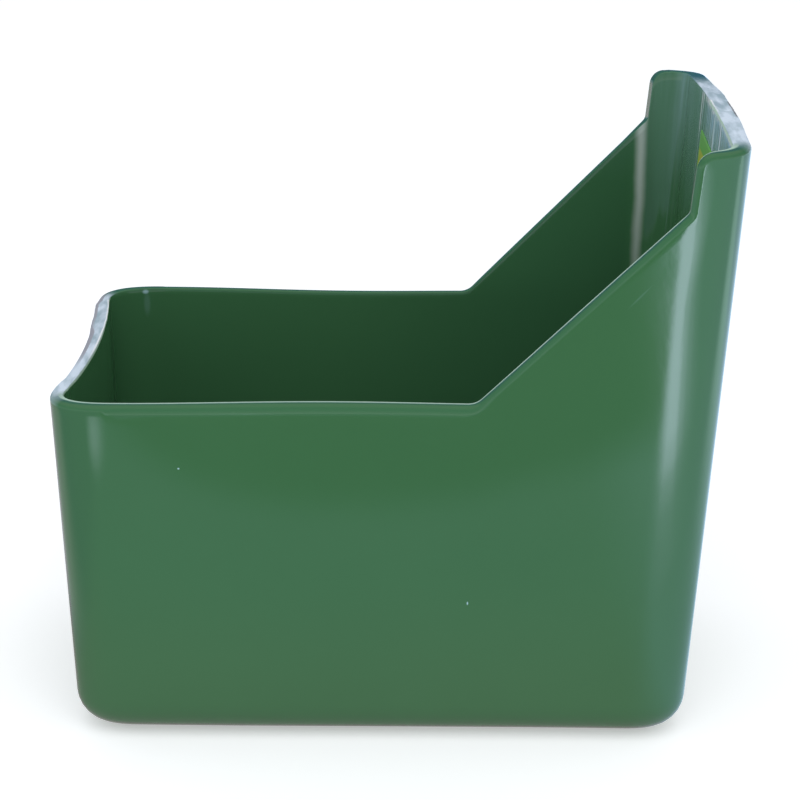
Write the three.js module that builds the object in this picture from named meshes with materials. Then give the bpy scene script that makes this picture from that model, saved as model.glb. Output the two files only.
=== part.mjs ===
// Livestock feed trough: one moulded plastic shell with a low front lip and a high back, and a label
// stuck inside its back wall. Millimetres, +Z up. +X points to the high back, and the origin is the
// middle of the underside.
import * as THREE from 'three';
import { LoftGeometry } from 'three/addons/geometries/LoftGeometry.js';

// Footprint of the shell, measured on the outside where the walls would meet the ground
const baseLength = 300;
const frontWidth = 174.6;
const backWidth = 167.9;

// Every wall leans outwards by the mould's draft angle, in degrees
const draftAngle = 2.49;

// Thickness of the moulding
const wall = 6.6;
const backWall = 8.7;
const floorThickness = 6;

// Radii of the upright corners on the near and far side, of the edge around the underside and of the
// rim's outer edge. The far corners of the real shell have settled a little rounder.
const nearCorner = 21;
const farCorner = 28;
const baseFillet = 20;
const rimRounding = 2.8;

// The rim stands at this height along the sides and falls a little towards the front
const sideHeight = 178.4;
const frontDrop = 1.2;
const lipDip = 0.5;

// The back ends in two ears, between which its top edge rises in a low arch
const earHeight = 298.6;
const archRise = 6;

// Side view: the rim is level up to the elbow, climbs to the shoulder, then stands up as an ear. The
// setback is measured from the foot of the back wall and the rise down from the top of the ear.
const shoulderSetback = 14.3;
const earRise = 26.1;
const climbRun = 92.3;
const earLean = 2.2;
const elbowRadius = 9;
const shoulderRadius = 5;
const earRadius = 8;

// How far the free edges have bowed inwards, measured at rim height
const lipBow = 7.7;
const sideBow = 3.85;

// Label on the inside of the back wall, turned by a few degrees
const labelWidth = 45;
const labelHeight = 60;
const labelThickness = 0.4;
const labelCorner = 1.5;
const labelGap = 0.3;
const labelOffset = 6.3;
const labelDrop = 45;
const labelTurnAngle = 4;

// Number of steps in each stretch of half the rim and in each rounded edge
const lipSteps = 6;
const cornerSteps = 6;
const sideSteps = 10;
const backSteps = 8;
const arcSteps = 4;
const filletSteps = 6;
const roundingSteps = 3;

const lean = Math.tan(THREE.MathUtils.degToRad(draftAngle));
const frontCornerHeight = sideHeight - frontDrop;
const shoulderX = baseLength / 2 - shoulderSetback;
const elbowX = shoulderX - climbRun;

// The shell has two skins. The inner one is set in by the thickness of each wall.
const outerSkin = { side: 0, back: 0, floor: 0 };
const innerSkin = { side: wall, back: backWall, floor: floorThickness };

// Where a skin's back wall stands at one height
function backFaceAt(skin, height) {
  return baseLength / 2 + height * lean - skin.back;
}

// Plan of half a skin at one height. The inset pulls all the walls further in, as the rounded edges do.
function planAt(skin, corner, height, inset) {
  const pull = skin.side + inset;
  const front = -baseLength / 2 - height * lean + pull;
  const back = backFaceAt(skin, height) - inset;
  const frontRadius = corner - pull;
  const backRadius = corner - skin.back - inset;
  return {
    front,
    back,
    frontRadius,
    backRadius,
    frontHalf: frontWidth / 2 + height * lean - pull,
    backHalf: backWidth / 2 + height * lean - pull,
    sideStart: front + frontRadius,
    sideEnd: back - backRadius,
    bowShare: height / sideHeight,
  };
}

// The front lip has bowed inwards, most in its middle
function lipBowAt(plan, y) {
  return lipBow * plan.bowShare * (1 - (y / plan.frontHalf) ** 2);
}

// The level side rim has bowed inwards between the front corner and the elbow
function sideBowAt(plan, x) {
  const alongShare = (x - plan.sideStart) / (elbowX - plan.sideStart);
  if (alongShare < 0 || alongShare > 1) return 0;
  return sideBow * plan.bowShare * Math.sin(Math.PI * alongShare) ** 2;
}

// Each stretch of half the plan, from the middle of the lip to the middle of the back. The share
// runs from 0 to 1 along the stretch.
const stretches = {
  lip(plan, share) {
    const y = share * (plan.frontHalf - plan.frontRadius);
    return [plan.front + lipBowAt(plan, y), y];
  },
  frontCorner(plan, share) {
    const angle = (share * Math.PI) / 2;
    const y = plan.frontHalf - plan.frontRadius * (1 - Math.sin(angle));
    return [plan.front + plan.frontRadius * (1 - Math.cos(angle)) + lipBowAt(plan, y), y];
  },
  side(plan, share) {
    const x = THREE.MathUtils.lerp(plan.sideStart, plan.sideEnd, share);
    return [x, THREE.MathUtils.lerp(plan.frontHalf, plan.backHalf, share) - sideBowAt(plan, x)];
  },
  backCorner(plan, share) {
    const angle = (share * Math.PI) / 2;
    const x = plan.back - plan.backRadius * (1 - Math.sin(angle));
    return [x, plan.backHalf - plan.backRadius * (1 - Math.cos(angle))];
  },
  back(plan, share) {
    return [plan.back, (1 - share) * (plan.backHalf - plan.backRadius)];
  },
};

// The points of an arc that rounds the corner of a bent line
function roundedCorner(before, corner, after, radius) {
  const toBefore = before.clone().sub(corner).normalize();
  const toAfter = after.clone().sub(corner).normalize();
  const halfAngle = Math.acos(toBefore.dot(toAfter)) / 2;
  const centre = toBefore.clone().add(toAfter).setLength(radius / Math.sin(halfAngle)).add(corner);
  const reach = radius / Math.tan(halfAngle);
  const start = toBefore.multiplyScalar(reach).add(corner).sub(centre);
  const end = toAfter.multiplyScalar(reach).add(corner).sub(centre);
  const turn = Math.atan2(start.cross(end), start.dot(end));
  const pivot = new THREE.Vector2();
  const points = [];
  for (let step = 0; step <= arcSteps; step++) {
    points.push(start.clone().rotateAround(pivot, (turn * step) / arcSteps).add(centre));
  }
  return points;
}

// The side rim in side view, from the front corner to the top of the ear, as x and height
function sideOutline(corner) {
  const start = new THREE.Vector2(
    planAt(outerSkin, corner, frontCornerHeight, 0).sideStart,
    frontCornerHeight,
  );
  const elbow = new THREE.Vector2(elbowX, sideHeight);
  const shoulder = new THREE.Vector2(shoulderX, earHeight - earRise);
  const ear = new THREE.Vector2(shoulderX + earLean, earHeight);
  const earTop = new THREE.Vector2(ear.x + earRadius * 2, earHeight);
  const elbowArc = roundedCorner(start, elbow, shoulder, elbowRadius);
  const level = [];
  for (let step = 0; step < sideSteps; step++) {
    level.push(start.clone().lerp(elbowArc[0], step / sideSteps));
  }
  return [
    ...level,
    ...elbowArc,
    ...roundedCorner(elbow, shoulder, ear, shoulderRadius),
    ...roundedCorner(shoulder, ear, earTop, earRadius),
  ];
}

// The same outline moved square to itself into the wall
function loweredOutline(corner, depth) {
  const outline = sideOutline(corner);
  return outline.map((point, index) => {
    const next = outline[Math.min(index + 1, outline.length - 1)];
    const along = next.clone().sub(outline[Math.max(index - 1, 0)]).normalize();
    return new THREE.Vector2(point.x + along.y * depth, point.y - along.x * depth);
  });
}

// The column of half a skin that passes through x at a given height
function columnAt(skin, corner, x, height) {
  const plan = planAt(skin, corner, height, 0);
  if (x <= plan.sideEnd) {
    return { stretch: 'side', share: (x - plan.sideStart) / (plan.sideEnd - plan.sideStart), height };
  }
  const angle = Math.asin((x - plan.sideEnd) / plan.backRadius);
  return { stretch: 'backCorner', share: angle / (Math.PI / 2), height };
}

// The front lip dips a little in its middle
function lipColumn(skin, corner, stretch, share, depth) {
  const plan = planAt(skin, corner, sideHeight, 0);
  const [, y] = stretches[stretch](plan, share);
  const dip = lipDip * (1 - (y / plan.frontHalf) ** 2);
  return { stretch, share, height: frontCornerHeight - dip - depth };
}

// The back's top edge is a low arch that runs down into the ears
function backColumn(skin, corner, stretch, share, depth) {
  const plan = planAt(skin, corner, earHeight, 0);
  const [, y] = stretches[stretch](plan, share);
  const rise = archRise * (1 - (y / plan.backHalf) ** 2);
  return { stretch, share, height: earHeight + rise - depth };
}

// Columns of half a skin along a line that lies a given depth below the rim
function rimColumns(skin, corner, depth) {
  const columns = [];
  for (let step = 0; step < lipSteps; step++) {
    columns.push(lipColumn(skin, corner, 'lip', step / lipSteps, depth));
  }
  for (let step = 0; step < cornerSteps; step++) {
    columns.push(lipColumn(skin, corner, 'frontCorner', step / cornerSteps, depth));
  }
  for (const { x, y: height } of loweredOutline(corner, depth)) {
    columns.push(columnAt(skin, corner, x, height));
  }
  const last = columns.at(-1);
  const earShare = last.stretch === 'backCorner' ? last.share : 0;
  for (let step = 1; step < cornerSteps; step++) {
    const share = THREE.MathUtils.lerp(earShare, 1, step / cornerSteps);
    columns.push(backColumn(skin, corner, 'backCorner', share, depth));
  }
  for (let step = 0; step <= backSteps; step++) {
    columns.push(backColumn(skin, corner, 'back', step / backSteps, depth));
  }
  return columns;
}

// Points of half a ring, from the middle of the lip to the middle of the back. They lie a given
// depth below the rim, or all at one level where that is given.
function halfRing(skin, corner, { depth = 0, inset = 0, level }) {
  return rimColumns(skin, corner, depth).map(({ stretch, share, height }) => {
    const z = level ?? height;
    const [x, y] = stretches[stretch](planAt(skin, corner, z, inset), share);
    return new THREE.Vector3(x, y, z);
  });
}

// One closed ring around the shell: the near half mirrored, then the far half
function closedRing(skin, place) {
  const near = halfRing(skin, nearCorner, place).map(({ x, y, z }) => new THREE.Vector3(x, -y, z));
  const far = halfRing(skin, farCorner, place);
  return [...near.slice(0, -1), ...far.slice(1).reverse()];
}

// Rings of the rim's rounded outer edge, from the wall up to the rim's flat
function roundingRings() {
  const rings = [];
  for (let step = 0; step <= roundingSteps; step++) {
    const angle = ((step / roundingSteps) * Math.PI) / 2;
    const depth = rimRounding * (1 - Math.sin(angle));
    rings.push(closedRing(outerSkin, { depth, inset: rimRounding * (1 - Math.cos(angle)) }));
  }
  return rings;
}

// Rings of one skin's rounded bottom edge, from its flat up to the wall
function filletRings(skin) {
  const radius = baseFillet - skin.back;
  const rings = [];
  for (let step = 0; step <= filletSteps; step++) {
    const angle = ((step / filletSteps) * Math.PI) / 2;
    const level = skin.floor + radius * (1 - Math.cos(angle));
    rings.push(closedRing(skin, { level, inset: radius * (1 - Math.sin(angle)) }));
  }
  return rings;
}

// A ring drawn together to one point in the middle, which closes a flat
function closingRing(height, count) {
  return Array.from({ length: count }, () => new THREE.Vector3(0, 0, height));
}

// The shell's surface runs from the middle of the underside up the outside, over the rim and down
// the inside to the middle of the floor
function troughShell() {
  const innerRim = closedRing(innerSkin, {});
  const sections = [
    closingRing(outerSkin.floor, innerRim.length),
    ...filletRings(outerSkin),
    ...roundingRings(),
    innerRim,
    ...filletRings(innerSkin).reverse(),
    closingRing(innerSkin.floor, innerRim.length),
  ];
  const plastic = new THREE.MeshStandardMaterial({ color: '#3f6f49', roughness: 0.38, metalness: 0 });
  const mesh = new THREE.Mesh(new LoftGeometry(sections), plastic);
  mesh.name = 'trough_shell';
  return mesh;
}

// A thin card with rounded corners, drawn about its own middle
function labelCard() {
  const right = labelWidth / 2 - labelCorner;
  const top = labelHeight / 2 - labelCorner;
  const outline = new THREE.Shape();
  outline.absarc(right, top, labelCorner, 0, Math.PI / 2);
  outline.absarc(-right, top, labelCorner, Math.PI / 2, Math.PI);
  outline.absarc(-right, -top, labelCorner, Math.PI, Math.PI * 1.5);
  outline.absarc(right, -top, labelCorner, Math.PI * 1.5, Math.PI * 2);
  return new THREE.ExtrudeGeometry(outline, {
    depth: labelThickness,
    bevelEnabled: false,
    curveSegments: arcSteps,
  });
}

// The label lies on the leaning inner face of the back wall and looks towards the front
function label() {
  const film = new THREE.MeshStandardMaterial({ color: '#4f9a3c', roughness: 0.45, metalness: 0 });
  const mesh = new THREE.Mesh(labelCard(), film);
  mesh.name = 'label';
  const acrossWall = new THREE.Vector3(0, -1, 0);
  const upWall = new THREE.Vector3(lean, 0, 1).normalize();
  const outOfWall = new THREE.Vector3().crossVectors(acrossWall, upWall);
  mesh.setRotationFromMatrix(new THREE.Matrix4().makeBasis(acrossWall, upWall, outOfWall));
  mesh.rotateZ(-THREE.MathUtils.degToRad(labelTurnAngle));
  const height = earHeight - labelDrop;
  mesh.position.set(backFaceAt(innerSkin, height), -labelOffset, height);
  mesh.position.addScaledVector(outOfWall, labelGap);
  return mesh;
}

const trough = new THREE.Group();
trough.add(troughShell());
trough.add(label());

export default trough;
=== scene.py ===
"""Livestock feed trough: a deep green moulded shell with a low lip and a high back, dressed for rendering.

The shell is grown ring by ring from one circle, so that its corners, fillets and trimmed rim are smooth.
It stands for the CAD shell, and a thin film label stands for the CAD label. All lengths are in metres.
"""
import math
from collections import namedtuple

import bmesh
import bpy
from mathutils import Matrix, Vector, noise


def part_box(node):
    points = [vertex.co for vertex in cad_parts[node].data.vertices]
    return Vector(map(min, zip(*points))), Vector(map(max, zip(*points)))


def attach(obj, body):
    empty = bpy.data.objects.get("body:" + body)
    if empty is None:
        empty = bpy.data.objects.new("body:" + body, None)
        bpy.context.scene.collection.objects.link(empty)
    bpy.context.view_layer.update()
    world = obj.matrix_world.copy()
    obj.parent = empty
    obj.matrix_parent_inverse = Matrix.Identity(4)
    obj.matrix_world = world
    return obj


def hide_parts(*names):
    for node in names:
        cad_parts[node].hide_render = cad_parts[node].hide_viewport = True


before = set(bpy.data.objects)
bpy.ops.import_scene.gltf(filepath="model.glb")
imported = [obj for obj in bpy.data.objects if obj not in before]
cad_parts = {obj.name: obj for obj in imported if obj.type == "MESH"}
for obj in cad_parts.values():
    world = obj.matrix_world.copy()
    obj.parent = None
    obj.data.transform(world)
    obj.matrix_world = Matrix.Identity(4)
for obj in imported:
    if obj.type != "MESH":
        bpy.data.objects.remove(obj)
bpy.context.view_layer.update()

bl_info = {
    "name": "Livestock feed trough",
    "version": (1, 0, 0),
    "blender": (4, 5, 0),
    "location": "View3D > Sidebar > Trough",
    "description": "Builds a moulded feed trough, its label and a plain studio around it",
    "category": "Add Mesh",
}

MM = 0.001

# Steps along each stretch of half the rim, and across each rounded edge
LIP_STEPS = 84
CORNER_STEPS = 20
SIDE_STEPS = 36
CLIMB_STEPS = 56
ARC_STEPS = 8
BACK_STEPS = 90
FILLET_STEPS = 8
ROUNDING_STEPS = 6
CRISP_STEPS = 2

# Where the walls get rings between fillet and rim, as shares of the way up
WALL_SHARES = (0.12, 0.25, 0.38, 0.51, 0.64, 0.77, 0.88, 0.95, 0.985)

# Where the rim's knife cut starts and where it is full, as shares of each stretch of half the rim
FAR_LIP_CUT_SHARES = (0.2, 0.4)
FAR_LIP_END_SHARES = (0.88, 1.03)
NEAR_LIP_CUT_SHARES = (0.7, 0.9)
FAR_BACK_CUT_SHARES = (0.3, 0.8)
NEAR_BACK_CUT_SHARES = (0, 0.455)

# Where the rim's pale cut with its painted reflection, or its painted highlight line, starts and ends, in
# the same shares
FAR_BACK_WHITE_SHARES = (0, 0.5)
FAR_CORNER_WHITE_SHARES = (0.1, 0.45)
FAR_CORNER_HIGHLIGHT_SHARES = (0, 0.4)
NEAR_CORNER_END_SHARE = 0.5
NEAR_EAR_START_SHARE = 0.6

# Sizes of the knife's slow and quick wavers along the cut
SLOW_WAVER = 7 * MM
QUICK_WAVER = 2.2 * MM

# Where the painted highlight line starts and is full, from the rim's outer edge, 0, to its inner edge, 1
EDGE_HIGHLIGHT_SHARES = (0.38, 0.78)

# Sizes of the patterns in the plastic and the film
CLOUD_SIZE = 60 * MM
STROKE_SIZE = 3 * MM
SWAY_SIZE = 25 * MM
BLOTCH_SIZE = 5 * MM
PEEL_SIZE = 3 * MM
FLOW_SIZE = 7 * MM
CUT_GRAIN_SIZE = 0.8 * MM
FILM_DOTS_PER_LABEL = 120.0
UPRIGHT_STRETCH = (1, 1, 0.05)
ALONG_CUT_STRETCH = (1, 0.3, 1)

# Scuffs and painted light on the inner walls, as places from the far side, 0, to past the middle, 1, each
# with its strength
SCUFF_AND_LIGHT_STOPS = (
    (0.03, 0.06), (0.1, 0.28), (0.19, 0.2), (0.35, 0.23), (0.54, 0.33), (0.69, 0.44), (0.85, 0.6), (1, 0.65))

# What the gloss mirrors of the sky, as heights from level, 0, to overhead, 1, each with its linear colour
SKY_STOPS = (
    (0, (0.8, 0.9, 1)), (0.12, (0.4, 0.45, 0.55)), (0.3, (0.12, 0.18, 0.32)),
    (0.5, (0.1, 0.16, 0.3)), (0.8, (0.4, 0.42, 0.45)), (1, (0.45, 0.47, 0.5)))

# The bright strip's strength across its width, and along it from the trough, 0, to its near end, 1
STRIP_WIDTH_STOPS = ((0, 1), (0.3, 1), (0.42, 0.5), (0.6, 0.22), (0.8, 0.07), (1, 0))
STRIP_LENGTH_STOPS = (
    (0, 0), (0.17, 0.06), (0.29, 0.11), (0.4, 0.27), (0.52, 0.66), (0.65, 0.9), (1, 1))

FLOOR_HALF_WIDTH = 8
FLOOR_GAP = 0.5 * MM
GLUE = 0.02 * MM

# A skin is how far one face of the shell is set in. A plan is that skin's walls and corners at one height.
# A column is a place along the rim with the height reached there. An edge is how a rim's edge is rounded.
Skin = namedtuple("Skin", "side back floor")
Plan = namedtuple("Plan", "front back front_corner back_corner front_half back_half side_start side_end bow")
Column = namedtuple("Column", "stretch share height reach")
Edge = namedtuple("Edge", "reach fall long_fall crisp")
Mark = namedtuple("Mark", "centre reach core lean strength", defaults=(0.3, 0.0, 1.0))
Lamp = namedtuple("Lamp", "name place width height watts")

KEY_LAMP = Lamp("key", (0.08, -0.95, 1.6), 1.2, 1.2, 9)
FRONT_LAMP = Lamp("front", (-0.2, -2.0, 0.12), 1.4, 0.2, 6)
LAMP_TARGET = (0, 0, 0.1)


def in_millimetres(*numbers):
    """A place or a reach given in millimetres."""
    return tuple(number * MM for number in numbers)


# The small marks of use: a speck, a dash and a scratch outside; and a painted highlight spot with its streak
# down at the far rim
MARKS_AND_HIGHLIGHT_SPOT = (
    Mark(in_millimetres(-94.2, -92.5, 146.5), in_millimetres(0.7, 2, 0.6)),
    Mark(in_millimetres(41.8, -88.1, 77.1), in_millimetres(0.5, 2, 1.2)),
    Mark(in_millimetres(115.4, -94, 233.5), in_millimetres(9.5, 3, 0.6),
         lean=math.radians(48), strength=0.07),
    # Painted highlight: a bright spot on the far rim, then its streak down
    Mark(in_millimetres(-131, 87.6, 175.5), in_millimetres(2.2, 3, 1.6), strength=0.6),
    Mark(in_millimetres(-130.3, 87.4, 169), in_millimetres(2.4, 3, 9), strength=0.09))

# The label's disc, in shares of the label, and the bright glint that the left corner mirrors, on the floor
LABEL_DISC = Mark((0.5, 0.35, 0), (0.26, 0.195, 1), core=0.96)
LEFT_GLINT = Mark((-0.236, -0.41, 0), (0.06, 0.075, 1), core=0.1)


def linear(hex_colour):
    """Turns an sRGB hex colour into the linear colour that shaders and properties hold."""
    channels = [int(hex_colour[start:start + 2], 16) / 255 for start in (1, 3, 5)]
    return tuple(c / 12.92 if c <= 0.04045 else ((c + 0.055) / 1.055) ** 2.4 for c in channels)


def number(name, description, default, **kind):
    """A number property with its limits, or with its unit and subtype."""
    return bpy.props.FloatProperty(name=name, description=description, default=default, **kind)


def length(name, description, millimetres):
    """A length property with its default in millimetres."""
    return number(name, description, millimetres * MM, unit="LENGTH", subtype="DISTANCE")


def colour(name, description, hex_colour):
    """A colour property with its default as sRGB hex."""
    return bpy.props.FloatVectorProperty(
        name=name, description=description, default=linear(hex_colour), subtype="COLOR", min=0, max=1)


def angle(name, description, degrees):
    """An angle property with its default in degrees."""
    return number(name, description, math.radians(degrees), unit="ROTATION", subtype="ANGLE")


class TroughSizes(bpy.types.PropertyGroup):
    """Sizes of the shell and its label"""
    base_length: length("Base length", "Length of the footprint where the walls would meet the ground", 300)
    front_width: length("Front width", "Width of the footprint at the front corners", 174.6)
    back_width: length("Back width", "Width of the footprint at the back corners", 167.9)
    draft: angle("Draft", "How far the side walls lean outwards", 2.49)
    front_draft: angle("Front draft", "How far the front wall leans outwards", 2.62)
    front_step: length("Front step", "How far the front wall's foot stands in from the footprint", 0.4)
    back_draft: angle("Back draft", "How far the back wall leans outwards", 2.32)
    back_step: length("Back step", "How far the back wall's foot stands out past the footprint", 0.9)
    wall: length("Wall", "Thickness of the side and front walls", 6.6)
    back_wall: length("Back wall", "Thickness of the back wall", 8.7)
    floor: length("Floor", "Thickness of the floor", 6)
    near_corner: length("Near corner", "Reach of the near upright corners across the ends", 22)
    far_corner: length("Far corner", "Reach of the far upright corners across the ends", 29)
    side_ease: length("Side ease", "How much further the corners reach along the sides", 9)
    corner_power: number("Corner power", "How squarely the corners turn, 2 being round", 2.5, min=2, max=6)
    base_fillet: length("Base fillet", "Radius of the edge around the underside", 20)
    rim_rounding: length("Rim rounding", "Radius of the rim's moulded outer edge", 2.8)
    rim_fall: length("Rim fall", "How far down the level side rim is rounded", 8)
    inner_rounding: length("Inner rounding", "Radius of the rim's inner edge", 0.7)
    cut_rounding: length("Cut rounding", "Radius of the trimmed rim's outer edge", 0.6)
    cut_inner_rounding: length("Cut inner rounding", "Radius of the trimmed rim's inner edge", 0.2)
    raggedness: length("Raggedness", "How far the trimmed edges waver", 0.35)
    nick_place: length("Nick place", "Where the back's inner edge is nicked, across the trough", -24)
    nick_reach: length("Nick reach", "How far the nick runs to either side", 1.5)
    nick_depth: length("Nick depth", "How deep the nick is", 1)
    sliver_start: length("Sliver start", "Where the sliver along the lip starts, across the trough", -35)
    sliver_end: length("Sliver end", "Where the sliver ends", 74)
    sliver_growth: length("Sliver growth", "Over what length the sliver grows", 90)
    sliver_fade: length("Sliver fade", "Over what length the sliver dies away", 12)
    sliver_reach: length("Sliver reach", "How far the sliver stands out", 0.9)
    side_height: length("Side height", "Height of the level side rim", 178.4)
    front_drop: length("Front drop", "How far the rim falls to the front corner", 1.2)
    lip_dip: length("Lip dip", "How far the front lip dips in its middle", 0.5)
    ear_height: length("Ear height", "Height of the ears", 299.7)
    arch_rise: length("Arch rise", "How far the back's top edge rises between the ears", 4.2)
    shoulder_setback: length("Shoulder setback", "From the foot of the back wall to the shoulder", 14.3)
    ear_rise: length("Ear rise", "From the near shoulder to the top of the ear", 27.9)
    far_lift: length("Far lift", "How much higher the far shoulder stands than the near one", 2)
    climb_run: length("Climb run", "Length of the climbing rim", 92.3)
    ear_lean: length("Ear lean", "How far the ear's front edge leans back", 2.2)
    elbow_radius: length("Elbow radius", "Radius where the rim starts to climb", 9)
    shoulder_radius: length("Shoulder radius", "Radius where the rim turns up into the ear", 5)
    ear_radius: length("Ear radius", "Radius of the ear's top", 8)
    lip_bow: length("Lip bow", "How far the lip has bowed inwards", 7.7)
    side_bow: length("Side bow", "How far the level side rims have bowed inwards", 3.5)
    bow_overrun: length("Bow overrun", "How far the side bow runs on past the start of the climb", 25)
    label_width: length("Label width", "Width of the label", 45)
    label_height: length("Label height", "Height of the label", 60)
    label_thickness: length("Label thickness", "Thickness of the label's film", 0.25)
    label_corner: length("Label corner", "Corner radius of the label", 1.5)
    label_offset: length("Label offset", "How far the label sits off the middle", 6.3)
    label_drop: length("Label drop", "From the top of the ears to the middle of the label", 45)
    label_turn: angle("Label turn", "How far the label is turned on its wall", 4)


class TroughFinish(bpy.types.PropertyGroup):
    """Colours and gloss of the trough"""
    green: colour("Green", "The plastic's main colour", "#3f6d48")
    deep_green: colour("Deep green", "The plastic's darker cloudy patches", "#3c6a45")
    # Painted shade: a darker green that stands in for the shade on the far inner wall near the high back
    inner_shade_green: colour("Inner green", "The deeper green of the inner wall beside the high back", "#356040")
    # Partly the knife's whitening, partly a painted reflection of the bright light above on the flat rim
    cut_edge_and_reflection: colour("Cut edge", "The knife-trimmed rim, whitened by the cut", "#d8e5f2")
    cut_shade: colour("Cut shade", "The duller blotches of the trimmed rim", "#a3b8c2")
    # Painted highlight, on the trimmed rim's inner edge and in the streak of the far inner corner
    painted_highlight_white: colour("Cut line", "The bright inner edge of the trimmed rim", "#f3f7f9")
    sliver: colour("Sliver", "The grey sliver of plastic along the lip's outer edge", "#a3a4ac")
    burr: colour("Burr", "Dust in the rough outer edge of the trimmed back", "#6a5c52")
    # Painted highlight: the pale line along the moulded rim's inner edge, the light its small rounding
    # catches
    painted_edge_highlight: colour("Worn edge", "The inner edge of the moulded rim, worn pale", "#bcd8c4")
    # Real scuffs, scratches and specks; the same pale colour also paints the highlight spot at the far rim
    # and the light on the upper inner walls
    scuff_and_painted_light: colour("Scuff", "Pale scuffs, scratches and specks", "#a9ccd6")
    gloss_roughness: number("Roughness", "Roughness of the moulded surface", 0.08, min=0, max=1)
    dull_roughness: number("Dull roughness", "Roughness of cut and worn edges", 0.5, min=0, max=1)
    label_field: colour("Label field", "Ground colour of the label", "#51a52a")
    label_band: colour("Label band", "Colour of the label's band and disc", "#9eae10")
    label_edge: colour("Label edge", "Colour of the label's plain border", "#63b540")


class TroughStage(bpy.types.PropertyGroup):
    """Camera and light"""
    lens: number("Lens", "Focal length on a 36 mm sensor", 91.55, unit="CAMERA")
    pitch: angle("Pitch", "How far the camera looks down", 20.394)
    yaw: angle("Yaw", "How far the camera is turned to the right", -0.136)
    roll: angle("Roll", "How far the camera is rolled", 0.802)
    camera: bpy.props.FloatVectorProperty(
        name="Camera", description="Place of the camera", default=(0.010293, -0.966177, 0.506835),
        subtype="TRANSLATION", unit="LENGTH")
    ambient: number("Ambient", "Strength of the even light from all round", 0.75, min=0)
    floor_glow: number("Floor glow", "How far the floor is lifted to white", 0.4, min=0)


def ease(share):
    """A share from 0 to 1 that starts and stops softly."""
    share = min(max(share, 0.0), 1.0)
    return share * share * (3 - 2 * share)


def skins(size):
    """The outer and inner skin, each with how far it is set in on every wall."""
    return Skin(0, 0, 0), Skin(size.wall, size.back_wall, size.floor)


def plan_at(size, skin, corner, height, inset=0.0):
    """Plan of half a skin at one height. The inset pulls all the walls further in."""
    spread = height * math.tan(size.draft)
    pull = skin.side + inset
    front = size.front_step - size.base_length / 2 - height * math.tan(size.front_draft) + pull
    back = size.base_length / 2 + size.back_step + height * math.tan(size.back_draft) - skin.back - inset
    front_corner = corner - pull
    back_corner = corner - skin.back - inset
    return Plan(
        front, back, front_corner, back_corner,
        size.front_width / 2 + spread - pull, size.back_width / 2 + spread - pull,
        front + front_corner + size.side_ease, back - back_corner - size.side_ease,
        height / size.side_height)


def bowed_lip(size, plan, x, y):
    """A point of the lip, which has bowed inwards most in its middle."""
    return x + size.lip_bow * plan.bow * (1 - (y / plan.front_half) ** 2), y


def rise(value, start, full):
    """How far a value has come from where something starts, 0, to where it is full, 1."""
    return ease((value - start) / (full - start))


def elbow_x(size):
    """Where the side rim starts to climb."""
    return size.base_length / 2 - size.shoulder_setback - size.climb_run


def on_lip(size, plan, share):
    """A point a share of the way from the lip's middle to the corner."""
    return bowed_lip(size, plan, plan.front, share * (plan.front_half - plan.front_corner))


def corner_curve(size, share):
    """How far in from both walls a corner runs, as shares of its reach. The turn starts softly."""
    turn = share * math.pi / 2
    power = size.corner_power
    reach = (math.cos(turn) ** power + math.sin(turn) ** power) ** (-1 / power)
    return 1 - math.cos(turn) * reach, 1 - math.sin(turn) * reach


def on_front_corner(size, plan, share):
    """A point a share of the way round the front corner."""
    from_end, from_side = corner_curve(size, share)
    x = plan.front + (plan.side_start - plan.front) * from_end
    return bowed_lip(size, plan, x, plan.front_half - plan.front_corner * from_side)


def on_side(size, plan, share):
    """A point a share of the way along the side, which has bowed inwards where its rim is level."""
    x = plan.side_start + share * (plan.side_end - plan.side_start)
    along = (x - plan.side_start) / (elbow_x(size) + size.bow_overrun - plan.side_start)
    bow = size.side_bow * plan.bow * math.sin(math.pi * along) ** 2 if 0 < along < 1 else 0
    return x, plan.front_half + ease(share) * (plan.back_half - plan.front_half) - bow


def on_back_corner(size, plan, share):
    """A point a share of the way round the back corner."""
    from_side, from_end = corner_curve(size, share)
    return plan.back - (plan.back - plan.side_end) * from_end, plan.back_half - plan.back_corner * from_side


def on_back(size, plan, share):
    """A point a share of the way from the back corner to the back's middle."""
    return plan.back, (1 - share) * (plan.back_half - plan.back_corner)


def rounded_corner(before, corner, after, radius):
    """Points of the arc that rounds the corner of a bent line."""
    to_before = (before - corner).normalized()
    to_after = (after - corner).normalized()
    half_angle = to_before.angle(to_after) / 2
    centre = corner + (to_before + to_after).normalized() * radius / math.sin(half_angle)
    reach = radius / math.tan(half_angle)
    start = corner + to_before * reach - centre
    end = corner + to_after * reach - centre
    turn = math.atan2(start.x * end.y - start.y * end.x, start.dot(end))
    return [centre + Matrix.Rotation(turn * step / ARC_STEPS, 2) @ start for step in range(ARC_STEPS + 1)]


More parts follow.
